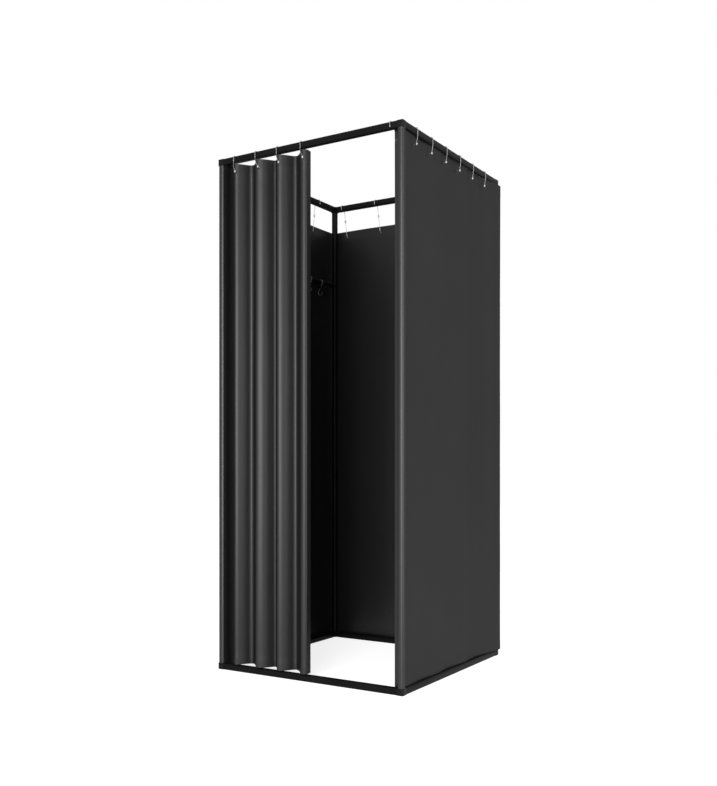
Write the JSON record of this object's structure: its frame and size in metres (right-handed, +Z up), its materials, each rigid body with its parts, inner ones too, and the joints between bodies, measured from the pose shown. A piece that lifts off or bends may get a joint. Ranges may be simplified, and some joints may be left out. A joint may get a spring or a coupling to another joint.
{
  "type": "portable fitting room",
  "caption": "Free-standing changing booth: a square frame of slim black tubes with black curtains hung on wire hooks and a garment rail inside.",
  "frame": {"origin": "on the floor under the middle of the booth", "axes": "+Z up, +X to the right of someone who faces the doorway, -Y out of the doorway"},
  "size_m": [0.8753, 0.8858, 2.0527],
  "materials": {
    "painted_tube": "black satin paint on steel tube",
    "connector_plastic": "moulded black plastic",
    "bright_wire": "plated wire",
    "curtain_cloth": "black woven cloth with a slight sheen"
  },
  "bodies": {
    "frame": {"post_front_left": "painted_tube", "corner_top_front_left": "connector_plastic", "corner_bottom_front_left": "connector_plastic", "post_front_right": "painted_tube", "corner_top_front_right": "connector_plastic", "corner_bottom_front_right": "connector_plastic", "post_back_left": "painted_tube", "corner_top_back_left": "connector_plastic", "corner_bottom_back_left": "connector_plastic", "post_back_right": "painted_tube", "corner_top_back_right": "connector_plastic", "corner_bottom_back_right": "connector_plastic", "top_rail_front": "painted_tube", "top_rail_back": "painted_tube", "top_rail_left": "painted_tube", "top_rail_right": "painted_tube", "bottom_rail_front": "painted_tube", "bottom_rail_back": "painted_tube", "bottom_rail_left": "painted_tube", "bottom_rail_right": "painted_tube", "garment_rail": "painted_tube", "garment_rail_plug_front": "connector_plastic", "garment_rail_plug_back": "connector_plastic", "right_hook_1": "bright_wire", "right_hook_2": "bright_wire", "right_hook_3": "bright_wire", "right_hook_4": "bright_wire", "right_hook_5": "bright_wire", "right_hook_6": "bright_wire", "back_hook_1": "bright_wire", "back_hook_2": "bright_wire", "back_hook_3": "bright_wire", "back_hook_4": "bright_wire", "back_hook_5": "bright_wire", "left_hook_1": "bright_wire", "left_hook_2": "bright_wire", "left_hook_3": "bright_wire", "left_hook_4": "bright_wire", "return_hook_front": "bright_wire", "return_hook_back": "bright_wire", "front_curtain": "curtain_cloth", "right_curtain": "curtain_cloth", "back_curtain": "curtain_cloth", "left_curtain": "curtain_cloth"},
    "front_glide_1": {"front_hook_1": "bright_wire"},
    "front_glide_2": {"front_hook_2": "bright_wire"},
    "front_glide_3": {"front_hook_3": "bright_wire"},
    "front_leader": {"front_hook_4": "bright_wire"},
    "swing_hook_1": {"garment_hook_1": "bright_wire"},
    "swing_hook_2": {"garment_hook_2": "bright_wire"},
    "swing_hook_3": {"garment_hook_3": "bright_wire"}
  },
  "joints": [
    {"name": "front_curtain_draw", "type": "slide", "parent": "frame", "child": "front_leader", "axis": [1, 0, 0], "range_m": [-0.2, 0.345], "deforming": ["front_curtain"]},
    {"name": "front_glide_1_slide", "type": "slide", "parent": "frame", "child": "front_glide_1", "axis": [1, 0, 0], "range_m": [-0.018, 0.0303]},
    {"name": "front_glide_2_slide", "type": "slide", "parent": "frame", "child": "front_glide_2", "axis": [1, 0, 0], "range_m": [-0.0919, 0.1578]},
    {"name": "front_glide_3_slide", "type": "slide", "parent": "frame", "child": "front_glide_3", "axis": [1, 0, 0], "range_m": [-0.1635, 0.2813]},
    {"name": "garment_hook_1_swing", "type": "hinge", "parent": "frame", "child": "swing_hook_1", "pos_m": [-0.412, 0.289, 1.673], "axis": [0, 1, 0], "range_deg": [-60, 2]},
    {"name": "garment_hook_2_swing", "type": "hinge", "parent": "frame", "child": "swing_hook_2", "pos_m": [-0.412, 0.19975, 1.673], "axis": [0, 1, 0], "range_deg": [-60, 2]},
    {"name": "garment_hook_3_swing", "type": "hinge", "parent": "frame", "child": "swing_hook_3", "pos_m": [-0.412, 0.051, 1.673], "axis": [0, 1, 0], "range_deg": [-60, 2]}
  ],
  "couplings": [
    {"joint": "front_glide_1_slide", "follows": "front_curtain_draw", "ratio": 0.0849},
    {"joint": "front_glide_2_slide", "follows": "front_curtain_draw", "ratio": 0.4544},
    {"joint": "front_glide_3_slide", "follows": "front_curtain_draw", "ratio": 0.8126}
  ]
}
